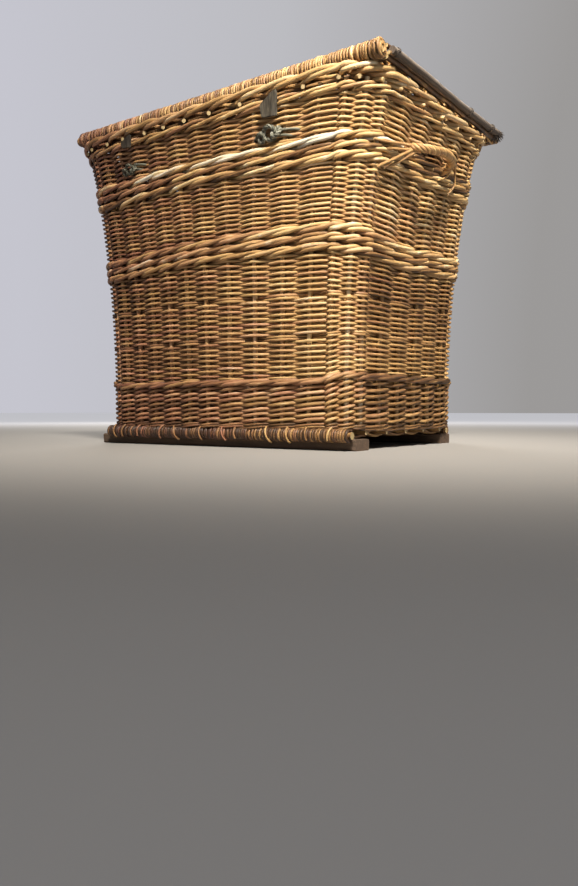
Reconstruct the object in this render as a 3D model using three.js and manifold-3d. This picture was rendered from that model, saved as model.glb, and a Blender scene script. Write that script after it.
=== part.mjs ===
// A rectangular woven-willow hamper with a hinged lid, in millimetres, +Z up.
// -Y is the front (two hasp straps), +Y is the back (hinge loops), the ends are -X and +X.
// Each woven course of the wall is its own ring, threaded on stakes that run up through it.
import * as THREE from "three";
import { mergeVertices } from "three/addons/utils/BufferGeometryUtils.js";
import Module from "manifold-3d";

const wasm = await Module();
wasm.setup();

// ---- main sizes ----
const WALL_FOOT_Z = 37; // height where the wall starts to flare
const WALL_RIM_Z = 627; // height of the border's widest line
const FOOT_HALF_X = 308;
const FOOT_HALF_Y = 216;
const RIM_HALF_X = 366;
const RIM_HALF_Y = 241.5;
const FLARE_POWER = 2.34; // the wall is nearly upright low down and flares near the rim
const FOOT_CORNER_R = 55;
const RIM_CORNER_R = 65;
const FOOT_BULGE = 16; // how far the long walls bow outwards at mid-length
const MAIN_BULGE = 21;
const WALL_THICK = 16;
const STAKE_INSET = 8; // stake centreline, inwards from the wall's outer face
const GAP = 0.3; // clearance left between separate pieces
const CORNER_STEPS = 4;
const LONG_STEPS = 6;

const STAKE_R = 4.5;
const STAKE_BORE = 4.9;
const STAKE_BOTTOM_Z = 42;
const STAKE_TOP_Z = 608;
const STAKE_LEVELS = [131, 240, 338, 435, 488, 540, 597];

// Each course of the wall: name, finish, and [height, how far the face stands proud] levels.
const COURSES = [
  ["foot_wale", "wale", [[36.7, 1], [114, 2], [118, 6], [130, 6], [131, 4]]],
  ["siding_lower", "siding", [[131.3, 1.5], [235, 1.5], [337.7, 1.5]]],
  ["wale_middle", "wale", [[338, 3], [343, 6], [378, 6], [383, 3]]],
  ["siding_middle", "siding", [[383.3, 1.5], [435, 1.5], [487.7, 1.5]]],
  ["wale_upper", "wale", [[488, 3], [493, 6], [528, 6], [533, 3]]],
  ["siding_upper", "siding", [[533.3, 1.5], [565, 1.5], [597, 1.5]]],
  ["top_wale", "wale", [[597.3, 4], [601, 6], [608, 6], [612, 5]]],
  ["border", "border", [[612.3, 9], [617, 12.5], [627, 12.5], [632.7, 6]]],
];
const BORDER_INSET = 24; // the border is wider than the wall below it

// Base
const BASE_LEFT_X = -288;
const BASE_RIGHT_X = 296;
const BASE_FRONT_BEAD_X = [-288, 312];
const BASE_BACK_BEAD_X = [-288, 280];
const BASE_STICK_OVERHANG = 3; // how far an edge stick shows at each end of its bead
const BASE_BEAD_Y = 222;
const BASE_BEAD_Z = 24.5;
const BASE_BEAD_R = 11.5;
const BASE_BOTTOM_Z = 20.3;
const BASE_TOP_Z = 36.4;
const BASE_EDGE_STICK_R = 7.4;
const BASE_STICK_R = 4.5;
const BASE_STICK_Y = [-150, -75, 0, 75, 150];

const BASE_SIDES = [
  ["front", -1, BASE_FRONT_BEAD_X],
  ["back", 1, BASE_BACK_BEAD_X],
];
const STICK_SLACK = 0.4; // how much wider than a stick the hole it lies in is
const PAST_END = 5; // a hole is cut this far past the end it opens through

// Runners under the base
const RUNNER_HIGH = 20;
const RUNNER_INNER_Y = 165;
const RUNNER_OUTER_Y = 210;
const RUNNER_CHAMFER = 3;
const FRONT_RUNNER_X = [-326, 314];
const BACK_RUNNER_X = [-316, 295];
const NAIL_X = [-230, 5, 240];
const NAIL_Y = 187.5;
const NAIL_HEAD_R = 4;
const NAIL_HEAD_TOP_Z = 2.6;
const NAIL_SHANK_R = 1.5;
const NAIL_SHANK_TOP_Z = 29;
const NAIL_TIP_Z = 31.4;

// Lid
const LID_AXIS_Z = 648;
const LID_FRONT_Y = -229;
const LID_BACK_Y = 261.5;
const LID_BEAD_R = 15;
const LID_LEFT_X = -350;
const LID_RIGHT_X = 364;
const LID_THICK = 14;
const LID_EDGE_STICK_R = 10;
const LID_EDGE_STICK_X = [-366.5, 373.2];
const LID_STICK_R = 5;
const LID_STICK_Y = [-159, -89, -19, 51, 121, 191];
const LID_ROD_R = 6.5;
const LID_LEFT_ROD = [-357.2, -218.5, 251]; // x, front end, back end: between the edge sticks
const LID_RIGHT_ROD = [380, -211, 257]; // outside the ends of the sticks

// Hinge loops round the lid's back stick
const HINGE_X = [-220, 0, 220];
const HINGE_LOOP_R = 14.2;
const HINGE_ROD_R = 3.5;
const HINGE_DROP = 17; // how far the loop's lower half sits below its upper half
const HINGE_NOTCH_R = 21;
const HINGE_NOTCH_HALF = 5;

// Handles, nooses and straps
const HANDLE_R = 9.5;
const HANDLE_PATH = [
  [337, -99, 530],
  [349, -102, 529],
  [362, -106, 526],
  [376, -105, 523],
  [387, -95, 521.5],
  [392, -71, 524],
  [391, -36, 530],
  [384, 7, 534.5],
  [372, 38, 534],
  [359, 50, 530],
  [347, 56, 528],
  [337, 58, 526],
];
const NOOSES = [
  ["noose_right", 164, 548],
  ["noose_left", -188.5, 551],
];
const NOOSE_HALF_LONG = 21;
const NOOSE_HALF_SHORT = 13;
const NOOSE_ROD_R = 3.5;
const NOOSE_OUTSET = 3.5; // its centre, outwards from the wall's outer face
const STRAPS = [
  ["strap_right", 171, 573],
  ["strap_left", -187, 592],
];
const STRAP_TOP_Z = 611.3;
const STRAP_WALL_Z = 606; // the wall stands furthest out behind it here
const STRAP_WALL_OUTSET = 6;
const STRAP_CORNER_WIDE = 4;
const STRAP_CORNER_HIGH = 3;
const STRAP_TOP_WIDE = 24;
const STRAP_BOTTOM_WIDE = 35;
const STRAP_THICK = 3;
const STRAP_CLEAR = 1.4; // room for the top edge to turn in front of the wale behind it

// The hinge loops reach further back than the border reaches forward:
// everything is moved by this much so that the bounding box is centred on the origin.
const CENTRE_SHIFT_Y = -2.35;

// Colours, roughness and metalness
const FINISH = {
  siding: { color: "#b98749", roughness: 0.65, metalness: 0 },
  wale: { color: "#c79c5e", roughness: 0.6, metalness: 0 },
  border: { color: "#b58c55", roughness: 0.6, metalness: 0 },
  stake: { color: "#bd8e50", roughness: 0.65, metalness: 0 },
  base: { color: "#b0803f", roughness: 0.7, metalness: 0 },
  lid: { color: "#c0a272", roughness: 0.75, metalness: 0 },
  handle: { color: "#c29a5a", roughness: 0.65, metalness: 0 },
  green: { color: "#7d7a64", roughness: 0.75, metalness: 0 },
  weathered: { color: "#85786d", roughness: 0.85, metalness: 0 },
  board: { color: "#6e5946", roughness: 0.9, metalness: 0 },
  iron: { color: "#4b4641", roughness: 0.6, metalness: 0.8 },
  leather: { color: "#776a57", roughness: 0.7, metalness: 0 },
};

// ---- geometry helpers ----

const mix = (a, b, t) => a + (b - a) * t;

// The wall's plan at one height: half sizes, corner radius and the bow of the long walls.
function wallAt(z) {
  const rise = (z - WALL_FOOT_Z) / (WALL_RIM_Z - WALL_FOOT_Z);
  const t = Math.min(Math.max(rise, 0), 1.02);
  const flare = Math.pow(t, FLARE_POWER);
  return {
    halfX: mix(FOOT_HALF_X, RIM_HALF_X, flare),
    halfY: mix(FOOT_HALF_Y, RIM_HALF_Y, flare),
    radius: mix(FOOT_CORNER_R, RIM_CORNER_R, flare),
    bulge: mix(FOOT_BULGE, MAIN_BULGE, Math.min(1, 1.5 * t)),
  };
}

// The y of the bowed front or back wall face (side -1 or +1) at x and height z.
function faceY(side, x, z, outset) {
  const w = wallAt(z);
  const along = x / (w.halfX + outset);
  return side * (w.halfY + outset + w.bulge * (1 - along * along));
}

// Corner points of the plan, anticlockwise from above, at height z and offset outwards.
function outline(z, outset) {
  const w = wallAt(z);
  const hx = w.halfX + outset;
  const hy = w.halfY + outset;
  const r = w.radius + outset;
  const flat = [];
  const arc = (cx, cy, from) => {
    for (let i = 0; i <= CORNER_STEPS; i++) {
      const a = from + (i * Math.PI) / 2 / CORNER_STEPS;
      flat.push([cx + r * Math.cos(a), cy + r * Math.sin(a)]);
    }
  };
  const run = (y, direction) => {
    for (let i = 1; i < LONG_STEPS; i++)
      flat.push([direction * mix(-(hx - r), hx - r, i / LONG_STEPS), y]);
  };
  arc(hx - r, -(hy - r), -Math.PI / 2);
  arc(hx - r, hy - r, 0);
  run(hy, -1);
  arc(-(hx - r), hy - r, Math.PI / 2);
  arc(-(hx - r), -(hy - r), Math.PI);
  run(-hy, 1);
  return flat.map(([x, y]) => {
    const bow = w.bulge * (1 - (x / hx) * (x / hx));
    return new THREE.Vector3(x, y + Math.sign(y) * bow, z);
  });
}

// One closed surface through loops of equal length; capped at both ends, or joined last to first.
function loft(loops, joined) {
  const count = loops[0].length;
  const points = loops.flat();
  const faces = [];
  const last = joined ? loops.length : loops.length - 1;
  for (let i = 0; i < last; i++) {
    const next = (i + 1) % loops.length;
    for (let j = 0; j < count; j++) {
      const k = (j + 1) % count;
      const a = i * count + j;
      const b = i * count + k;
      const c = next * count + k;
      const d = next * count + j;
      faces.push([a, b, c], [a, c, d]);
    }
  }
  if (!joined) {
    const end = (loops.length - 1) * count;
    for (let j = 1; j < count - 1; j++) {
      faces.push([0, j + 1, j]);
      faces.push([end, end + j, end + j + 1]);
    }
  }
  const geometry = new THREE.BufferGeometry().setFromPoints(points);
  geometry.setIndex(faces.flat());
  return geometry;
}

function solid(geometry) {
  geometry.deleteAttribute("normal");
  geometry.deleteAttribute("uv");
  const merged = mergeVertices(geometry, 1e-4);
  const index = merged.index.array;
  const kept = [];
  for (let i = 0; i < index.length; i += 3) {
    const [a, b, c] = [index[i], index[i + 1], index[i + 2]];
    if (a !== b && b !== c && a !== c) kept.push(a, b, c);
  }
  const build = (tri) =>
    new wasm.Manifold(
      new wasm.Mesh({
        numProp: 3,
        vertProperties: new Float32Array(merged.attributes.position.array),
        triVerts: new Uint32Array(tri),
      }),
    );
  const made = build(kept);
  if (made.volume() > 0) return made;
  const turned = [];
  for (let i = 0; i < kept.length; i += 3)
    turned.push(kept[i], kept[i + 2], kept[i + 1]);
  return build(turned);
}

function geometryOf(manifold) {
  const mesh = manifold.getMesh();
  const geometry = new THREE.BufferGeometry();
  const position = new Float32Array(mesh.vertProperties);
  geometry.setAttribute("position", new THREE.BufferAttribute(position, 3));
  geometry.setIndex(new THREE.BufferAttribute(new Uint32Array(mesh.triVerts), 1));
  return geometry;
}

// A round rod along X.
function rodAlongX(x0, x1, y, z, r, sides = 10) {
  const rod = new THREE.CylinderGeometry(r, r, x1 - x0, sides);
  rod.rotateZ(Math.PI / 2);
  rod.translate((x0 + x1) / 2, y, z);
  return solid(rod);
}

const smoothPath = (points, closed) =>
  new THREE.CatmullRomCurve3(
    points.map((p) => new THREE.Vector3(...p)),
    closed,
    "centripetal",
  );

// A bent round rod through the given points, with flat ends.
function bentRod(points, r, steps, sides) {
  const section = new THREE.Shape();
  section.absarc(0, 0, r, 0, 2 * Math.PI);
  return solid(
    new THREE.ExtrudeGeometry(section, {
      steps,
      curveSegments: sides / 2, // an arc gets two points for each
      extrudePath: smoothPath(points, false),
    }),
  );
}

// A rod bent into a closed ring through the given points.
function ringRod(points, r, segments, sides) {
  const path = smoothPath(points, true);
  return solid(new THREE.TubeGeometry(path, segments, r, sides, true));
}

// ---- stakes ----

// Centre of a stake in the front or back wall, at a share of the straight stretch between corners.
// The back is the front turned half round, so its shares run from right to left.
const longStake = (side, share) => (z) => {
  const w = wallAt(z);
  const reach = w.halfX - w.radius;
  const x = -side * mix(-reach, reach, share);
  return [x, faceY(side, x, z, -STAKE_INSET)];
};

// Centre of a stake in an end wall, the same way round.
const endStake = (side, share) => (z) => {
  const w = wallAt(z);
  const reach = w.halfY - w.radius;
  return [side * (w.halfX - STAKE_INSET), side * mix(-reach, reach, share)];
};

// Centre of a stake half way round a rounded corner.
const cornerStake = (sideX, sideY) => (z) => {
  const w = wallAt(z);
  const hx = w.halfX - STAKE_INSET;
  const reach = (w.radius - STAKE_INSET) * Math.SQRT1_2;
  const x = w.halfX - w.radius + reach;
  const bow = w.bulge * (1 - (x / hx) * (x / hx));
  return [sideX * x, sideY * (w.halfY - w.radius + reach + bow)];
};

const STAKES = [
  ["corner_post_front_left", cornerStake(-1, -1)],
  ["corner_post_front_right", cornerStake(1, -1)],
  ["corner_post_back_left", cornerStake(-1, 1)],
  ["corner_post_back_right", cornerStake(1, 1)],
  ["stake_front_left", longStake(-1, 0.3)],
  ["stake_front_right", longStake(-1, 0.715)],
  ["stake_back_left", longStake(1, 0.715)],
  ["stake_back_right", longStake(1, 0.3)],
  ["stake_end_left", endStake(-1, 0.376)],
  ["stake_end_right", endStake(1, 0.376)],
];

// An upright rod that follows the wall, from z0 to z1.
function uprightRod(centreAt, r, z0, z1) {
  const levels = [z0, ...STAKE_LEVELS.filter((z) => z > z0 && z < z1), z1];
  const sides = 8;
  return solid(
    loft(
      levels.map((z) => {
        const [cx, cy] = centreAt(z);
        const loop = [];
        for (let i = 0; i < sides; i++) {
          const a = (i * 2 * Math.PI) / sides;
          const x = cx + r * Math.cos(a);
          loop.push(new THREE.Vector3(x, cy + r * Math.sin(a), z));
        }
        return loop;
      }),
      false,
    ),
  );
}

// ---- wall courses ----

// One woven course as a ring; its inner face needs no levels between its ends unless it is tall.
function course(levels, inset) {
  const ends = [levels[0], levels[levels.length - 1]];
  const inner = levels.length === 3 ? levels : ends;
  const outside = levels.map(([z, outset]) => outline(z, outset));
  const inside = inner.map(([z]) => outline(z, -inset)).reverse();
  return solid(loft([...outside, ...inside], true));
}

// ---- base ----

// A straight solid along X from its outline in the YZ plane.
function alongX(profile, x0, x1) {
  const shape = new THREE.Shape(profile.map(([y, z]) => new THREE.Vector2(y, z)));
  const block = new THREE.ExtrudeGeometry(shape, {
    depth: x1 - x0,
    bevelEnabled: false,
  });
  block.rotateX(Math.PI / 2);
  block.rotateZ(Math.PI / 2);
  block.translate(x0, 0, 0);
  return solid(block);
}

const box = (y0, y1, z0, z1) => [[y0, z0], [y1, z0], [y1, z1], [y0, z1]];

function basePanel(nails) {
  const x0 = BASE_LEFT_X;
  const x1 = BASE_RIGHT_X;
  const flat = box(-BASE_BEAD_Y, BASE_BEAD_Y, BASE_BOTTOM_Z, BASE_TOP_Z);
  let panel = alongX(flat, x0, x1);
  for (const [, side, [from, to]] of BASE_SIDES)
    panel = panel.add(rodAlongX(from, to, side * BASE_BEAD_Y, BASE_BEAD_Z, BASE_BEAD_R, 14));
  for (const [, side, [from, to]] of BASE_SIDES) {
    const bore = BASE_EDGE_STICK_R + STICK_SLACK;
    const last = Math.max(to, x1) + PAST_END;
    const y = side * BASE_BEAD_Y;
    panel = panel.subtract(rodAlongX(from - PAST_END, last, y, BASE_BEAD_Z, bore));
  }
  const z = (BASE_BOTTOM_Z + BASE_TOP_Z) / 2;
  const bore = BASE_STICK_R + STICK_SLACK;
  for (const y of BASE_STICK_Y)
    panel = panel.subtract(rodAlongX(x0 - PAST_END, x1 + PAST_END, y, z, bore, 8));
  return panel.subtract(nails);
}

function runner(side, [x0, x1], nails) {
  const inner = side * RUNNER_INNER_Y;
  const outer = side * RUNNER_OUTER_Y;
  const c = side * RUNNER_CHAMFER;
  const top = RUNNER_HIGH - RUNNER_CHAMFER;
  const profile = [
    [inner, 0],
    [outer, 0],
    [outer, top],
    [outer - c, RUNNER_HIGH],
    [inner + c, RUNNER_HIGH],
    [inner, top],
  ];
  return alongX(profile, x0, x1).subtract(nails);
}

// A clout nail driven up from below, or the hole it sits in when slack is over 0.
function nail(x, y, slack) {
  const head = slack ? -1 : 1;
  const points = [
    [0, head],
    [NAIL_HEAD_R + slack, head],
    [NAIL_HEAD_R + slack, NAIL_HEAD_TOP_Z + slack],
    [NAIL_SHANK_R + slack, NAIL_HEAD_TOP_Z + slack],
    [NAIL_SHANK_R + slack, NAIL_SHANK_TOP_Z + slack],
    [0, NAIL_TIP_Z + slack],
  ].map(([r, z]) => new THREE.Vector2(r, z));
  const turned = new THREE.LatheGeometry(points, 10);
  turned.rotateX(Math.PI / 2);
  turned.translate(x, y, 0);
  return solid(turned);
}

// ---- lid ----

function lidPanel() {
  const x0 = LID_LEFT_X;
  const x1 = LID_RIGHT_X;
  const half = LID_THICK / 2;
  const flat = box(LID_FRONT_Y, LID_BACK_Y, LID_AXIS_Z - half, LID_AXIS_Z + half);
  let panel = alongX(flat, x0, x1);
  for (const y of [LID_FRONT_Y, LID_BACK_Y])
    panel = panel.add(rodAlongX(x0, x1, y, LID_AXIS_Z, LID_BEAD_R, 16));
  const hole = (y, bore, sides) =>
    rodAlongX(x0 - PAST_END, x1 + PAST_END, y, LID_AXIS_Z, bore, sides);
  for (const y of [LID_FRONT_Y, LID_BACK_Y])
    panel = panel.subtract(hole(y, LID_EDGE_STICK_R + STICK_SLACK, 14));
  for (const y of LID_STICK_Y)
    panel = panel.subtract(hole(y, LID_STICK_R + STICK_SLACK, 8));
  for (const at of HINGE_X) {
    const from = at - HINGE_NOTCH_HALF;
    const to = at + HINGE_NOTCH_HALF;
    const cut = rodAlongX(from, to, LID_BACK_Y, LID_AXIS_Z, HINGE_NOTCH_R, 20);
    panel = panel.subtract(cut);
  }
  return panel;
}

// A plain rod along Y that closes one end of the lid.
function lidEdgeRod([x, y0, y1]) {
  const rod = new THREE.CylinderGeometry(LID_ROD_R, LID_ROD_R, y1 - y0, 10);
  rod.translate(x, (y0 + y1) / 2, LID_AXIS_Z);
  return solid(rod);
}

// A willow loop round the lid's back stick and through the border.
function hingeLoop(x, slack) {
  const loop = new THREE.TorusGeometry(HINGE_LOOP_R, HINGE_ROD_R + slack, 8, 16);
  loop.rotateY(Math.PI / 2);
  const position = loop.attributes.position;
  for (let i = 0; i < position.count; i++)
    if (position.getY(i) < -0.5) position.setY(i, position.getY(i) - HINGE_DROP);
  loop.rotateX(Math.PI / 2);
  loop.translate(x, LID_BACK_Y, LID_AXIS_Z);
  return solid(loop);
}

// ---- fittings ----

// The bow handle of one end; the other end's is the same handle turned half round.
function handle(side, slack) {
  const path = HANDLE_PATH.map(([x, y, z]) => [side * x, side * y, z]);
  return bentRod(path, HANDLE_R + slack, 18, 8);
}

// A small ring whose lower half passes behind the wall's rods.
function noose([, x, z], slack) {
  const y = faceY(-1, x, z, NOOSE_OUTSET);
  const points = [];
  for (let i = 0; i < 16; i++) {
    const a = (i * Math.PI) / 8;
    const out = NOOSE_HALF_SHORT * Math.sin(a) * Math.SQRT1_2;
    points.push([x + NOOSE_HALF_LONG * Math.cos(a), y - out, z + out]);
  }
  return ringRod(points, NOOSE_ROD_R + slack, 20, 6);
}

// A leather tongue, wider at the bottom, that hangs from under the border.
function strap([, x, bottom]) {
  const back = faceY(-1, x, STRAP_WALL_Z, STRAP_WALL_OUTSET) - STRAP_CLEAR;
  const half = STRAP_BOTTOM_WIDE / 2;
  const shape = new THREE.Shape([
    new THREE.Vector2(-half, bottom + STRAP_CORNER_HIGH),
    new THREE.Vector2(-half + STRAP_CORNER_WIDE, bottom),
    new THREE.Vector2(half - STRAP_CORNER_WIDE, bottom),
    new THREE.Vector2(half, bottom + STRAP_CORNER_HIGH),
    new THREE.Vector2(STRAP_TOP_WIDE / 2, STRAP_TOP_Z),
    new THREE.Vector2(-STRAP_TOP_WIDE / 2, STRAP_TOP_Z),
  ]);
  const plate = new THREE.ExtrudeGeometry(shape, {
    depth: STRAP_THICK,
    bevelEnabled: false,
  });
  plate.rotateX(Math.PI / 2);
  plate.translate(x, back, 0);
  return solid(plate);
}

// ---- assembly ----

// The body stands still; the lid and the two straps turn on their hinges.
const hamper = new THREE.Group();
const body = new THREE.Group();
const lid = new THREE.Group();
const straps = new THREE.Group();
for (const part of [body, lid, straps]) {
  part.position.y = CENTRE_SHIFT_Y;
  hamper.add(part);
}

function addPiece(parent, name, finish, manifold) {
  const material = new THREE.MeshStandardMaterial(FINISH[finish]);
  const mesh = new THREE.Mesh(geometryOf(manifold), material);
  mesh.name = name;
  parent.add(mesh);
}

const between = (piece, z0, z1) => {
  const b = piece.boundingBox();
  return b.max[2] > z0 && b.min[2] < z1;
};

function wallCuts() {
  const cuts = STAKES.map(([, at]) =>
    uprightRod(at, STAKE_BORE, STAKE_BOTTOM_Z - 1, STAKE_TOP_Z + 1),
  );
  cuts.push(handle(1, GAP), handle(-1, GAP));
  for (const one of NOOSES) cuts.push(noose(one, GAP));
  for (const x of HINGE_X) cuts.push(hingeLoop(x, GAP));
  return cuts;
}

function addWall() {
  const cuts = wallCuts();
  for (const [name, finish, levels] of COURSES) {
    const inset = name === "border" ? BORDER_INSET : WALL_THICK;
    const bottom = levels[0][0];
    const top = levels[levels.length - 1][0];
    let ring = course(levels, inset);
    for (const cut of cuts)
      if (between(cut, bottom, top)) ring = ring.subtract(cut);
    addPiece(body, name, finish, ring);
  }
  for (const [name, at] of STAKES) {
    const rod = uprightRod(at, STAKE_R, STAKE_BOTTOM_Z, STAKE_TOP_Z);
    addPiece(body, name, "stake", rod);
  }
}

function addBase() {
  let holes = null;
  for (const side of [-1, 1])
    for (const x of NAIL_X) {
      const hole = nail(x, side * NAIL_Y, STICK_SLACK);
      holes = holes ? holes.add(hole) : hole;
    }
  addPiece(body, "base_panel", "base", basePanel(holes));
  for (const [word, side, [from, to]] of BASE_SIDES) {
    const span = word === "front" ? FRONT_RUNNER_X : BACK_RUNNER_X;
    addPiece(body, "runner_" + word, "board", runner(side, span, holes));
    const x0 = from - BASE_STICK_OVERHANG;
    const x1 = to + BASE_STICK_OVERHANG;
    const y = side * BASE_BEAD_Y;
    const stick = rodAlongX(x0, x1, y, BASE_BEAD_Z, BASE_EDGE_STICK_R);
    addPiece(body, "base_stick_" + word, "stake", stick);
    NAIL_X.forEach((x, i) => {
      addPiece(body, `nail_${word}_${i + 1}`, "iron", nail(x, side * NAIL_Y, 0));
    });
  }
  const z = (BASE_BOTTOM_Z + BASE_TOP_Z) / 2;
  BASE_STICK_Y.forEach((y, i) => {
    const stick = rodAlongX(BASE_LEFT_X, BASE_RIGHT_X, y, z, BASE_STICK_R, 8);
    addPiece(body, `base_stick_${i + 1}`, "stake", stick);
  });
}

function addLid() {
  addPiece(lid, "lid_panel", "lid", lidPanel());
  for (const [word, y] of [["front", LID_FRONT_Y], ["back", LID_BACK_Y]]) {
    const [from, to] = LID_EDGE_STICK_X;
    const stick = rodAlongX(from, to, y, LID_AXIS_Z, LID_EDGE_STICK_R, 14);
    addPiece(lid, "lid_stick_" + word, "stake", stick);
  }
  const [, right] = LID_EDGE_STICK_X;
  LID_STICK_Y.forEach((y, i) => {
    const stick = rodAlongX(LID_LEFT_X, right, y, LID_AXIS_Z, LID_STICK_R, 8);
    addPiece(lid, `lid_stick_${i + 1}`, "stake", stick);
  });
  addPiece(lid, "lid_edge_rod_left", "weathered", lidEdgeRod(LID_LEFT_ROD));
  addPiece(lid, "lid_edge_rod_right", "weathered", lidEdgeRod(LID_RIGHT_ROD));
}

function addFittings() {
  HINGE_X.forEach((x, i) => {
    addPiece(body, `hinge_loop_${i + 1}`, "green", hingeLoop(x, 0));
  });
  addPiece(body, "handle_right", "handle", handle(1, 0));
  addPiece(body, "handle_left", "handle", handle(-1, 0));
  for (const one of NOOSES) addPiece(body, one[0], "green", noose(one, 0));
  for (const one of STRAPS) addPiece(straps, one[0], "leather", strap(one));
}

addBase();
addWall();
addLid();
addFittings();

export default hamper;
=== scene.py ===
"""A woven willow laundry hamper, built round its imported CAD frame. Metres, +Z up, front at -Y."""

import math

import bpy
import numpy as np
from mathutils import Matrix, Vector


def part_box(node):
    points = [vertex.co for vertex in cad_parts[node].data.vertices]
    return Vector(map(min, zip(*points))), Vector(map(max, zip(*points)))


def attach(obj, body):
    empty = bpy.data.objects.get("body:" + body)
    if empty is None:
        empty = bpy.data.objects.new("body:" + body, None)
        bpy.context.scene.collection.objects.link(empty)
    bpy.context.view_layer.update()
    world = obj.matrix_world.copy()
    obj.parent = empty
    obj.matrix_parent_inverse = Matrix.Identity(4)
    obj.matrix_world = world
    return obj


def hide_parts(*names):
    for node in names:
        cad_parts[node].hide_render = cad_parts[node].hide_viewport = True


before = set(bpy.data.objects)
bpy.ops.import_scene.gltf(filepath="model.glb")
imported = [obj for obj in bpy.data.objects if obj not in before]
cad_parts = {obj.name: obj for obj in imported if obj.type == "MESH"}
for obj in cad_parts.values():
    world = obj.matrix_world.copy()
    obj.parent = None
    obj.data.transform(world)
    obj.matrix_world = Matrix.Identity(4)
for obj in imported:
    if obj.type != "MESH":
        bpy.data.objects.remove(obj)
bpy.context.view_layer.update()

MM = 0.001
SEED = 20

# ---- the wall's shape, as in the CAD ----
WALL_FOOT_Z = 0.037
WALL_RIM_Z = 0.627
FOOT_HALF = (0.308, 0.216)
RIM_HALF = (0.366, 0.2415)
FLARE_POWER = 2.34
CORNER_R = (0.055, 0.065)
BULGE = (0.016, 0.021)
STAKE_INSET = 0.008
STAKE_R = 0.0045


def middle_of(name):
    """The middle of a CAD node's box."""
    low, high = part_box(name)
    return (low + high) / 2


# Everything in the CAD is moved a little in Y to centre its box; the base panel shows by how much.
CENTRE_Y = middle_of("base_panel").y


def wall_at(z):
    """Half length, half depth, corner radius and bow of the wall's outer face at height z."""
    t = np.clip((z - WALL_FOOT_Z) / (WALL_RIM_Z - WALL_FOOT_Z), 0, 1.02)
    flare = t**FLARE_POWER
    rise = np.minimum(1, 1.5 * t)
    half_x = FOOT_HALF[0] + (RIM_HALF[0] - FOOT_HALF[0]) * flare
    half_y = FOOT_HALF[1] + (RIM_HALF[1] - FOOT_HALF[1]) * flare
    radius = CORNER_R[0] + (CORNER_R[1] - CORNER_R[0]) * flare
    return half_x, half_y, radius, BULGE[0] + (BULGE[1] - BULGE[0]) * rise


# How far hand weaving has pushed the rows up or down, in mm, at eight heights and eight places
# round one half of the wall; the other half repeats it.
UNEVEN_Z = (0.037, 0.131, 0.338, 0.383, 0.488, 0.533, 0.597, 0.633)
UNEVEN_Q = (0.0, 0.46, 0.86, 1.5, 2.4, 2.7, 3.2, 4.0)
UNEVEN_MM = (
    (0, 0, 0, 0, -4, -4, 0, 0),
    (-5, -4, -5, 7, 6, 6, 5, -5),
    (0, 8, 2, -5, -9, -3, 2, 0),
    (-1, 6, 7, 3, -12, -4, 1, -1),
    (-4, 2, -3, -2, 0, 3, 6, -4),
    (3, 2, -2, 1, 0, 3, 6, 3),
    (2, -4, -3, -5, -4, -1, -3, 2),
    (0, -3, 0, 0, -3, -5, -6, 0),
)


def unevenness(q, z):
    """The rise or sag of a row at q that would otherwise lie level at z."""
    q, z = np.broadcast_arrays(np.mod(q, 4.0), z)
    columns = np.stack([np.interp(z, UNEVEN_Z, column) for column in np.transpose(UNEVEN_MM)])
    at = np.interp(q, UNEVEN_Q, np.arange(len(UNEVEN_Q)))
    cell = np.minimum(at.astype(int), len(UNEVEN_Q) - 2)
    ease = (1 - np.cos(math.pi * (at - cell))) / 2
    low = np.take_along_axis(columns, cell[None], 0)[0]
    high = np.take_along_axis(columns, cell[None] + 1, 0)[0]
    return (low + (high - low) * ease) * MM


def points_at(x, y, z):
    """Points from their coordinates, each of which is a number or an array."""
    return np.stack(np.broadcast_arrays(x, y, z), -1)


def wall_point(q, z, out):
    """A point round the wall: q runs 0 to 8 over front, corner, right end, corner, back, ..."""
    q, z, out = np.broadcast_arrays(np.mod(q, 8.0), z, out)
    half_x, half_y, radius, bulge = wall_at(z)
    flat_x, flat_y = half_x - radius, half_y - radius
    stretch = np.floor(q).astype(int)
    f = q - stretch
    run_x, run_y = (2 * f - 1) * flat_x, (2 * f - 1) * flat_y
    end, face = half_x + out, half_y + out
    turn = (f + (stretch - 1) / 2 - 1) * math.pi / 2
    round_x, round_y = (radius + out) * np.cos(turn), (radius + out) * np.sin(turn)
    right, left = flat_x + round_x, round_x - flat_x
    rear, fore = flat_y + round_y, round_y - flat_y
    x = np.choose(stretch, [run_x, right, end, right, -run_x, left, -end, left])
    y = np.choose(stretch, [-face, fore, run_y, rear, face, rear, -run_y, fore])
    bow = bulge * (1 - (x / end) ** 2)
    y = y + np.where(y < 0, -bow, bow)
    return points_at(x, y + CENTRE_Y, z + unevenness(q, z))


def outward_at(q, z):
    """The direction out of the wall at q."""
    step = wall_point(q, z, 0.01) - wall_point(q, z, 0.0)
    return step / np.linalg.norm(step, axis=-1, keepdims=True)


# ---- stakes: where they stand, as shares of each stretch; the back half repeats the front half ----
LONG_SHARES = (0.03, 0.115, 0.205, 0.30, 0.395, 0.49, 0.60, 0.715, 0.83, 0.94)
CORNER_SHARES = (0.133, 0.5, 0.867)
END_SHARES = (0.16, 0.376, 0.585, 0.775, 0.95)
STRETCHES = (LONG_SHARES, CORNER_SHARES, END_SHARES, CORNER_SHARES) * 2
STAKE_Q = np.array([k + share for k, shares in enumerate(STRETCHES) for share in shares])
STAKE_COUNT = len(STAKE_Q)


def q_of(p):
    """The place round the wall of stake number p, in between stakes too."""
    lap = np.floor(p / STAKE_COUNT)
    at = np.append(STAKE_Q, STAKE_Q[0] + 8)
    return np.interp(p - lap * STAKE_COUNT, np.arange(STAKE_COUNT + 1), at) + 8 * lap


# ---- rods: every woven strand is a round tube in one of these meshes ----


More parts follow.
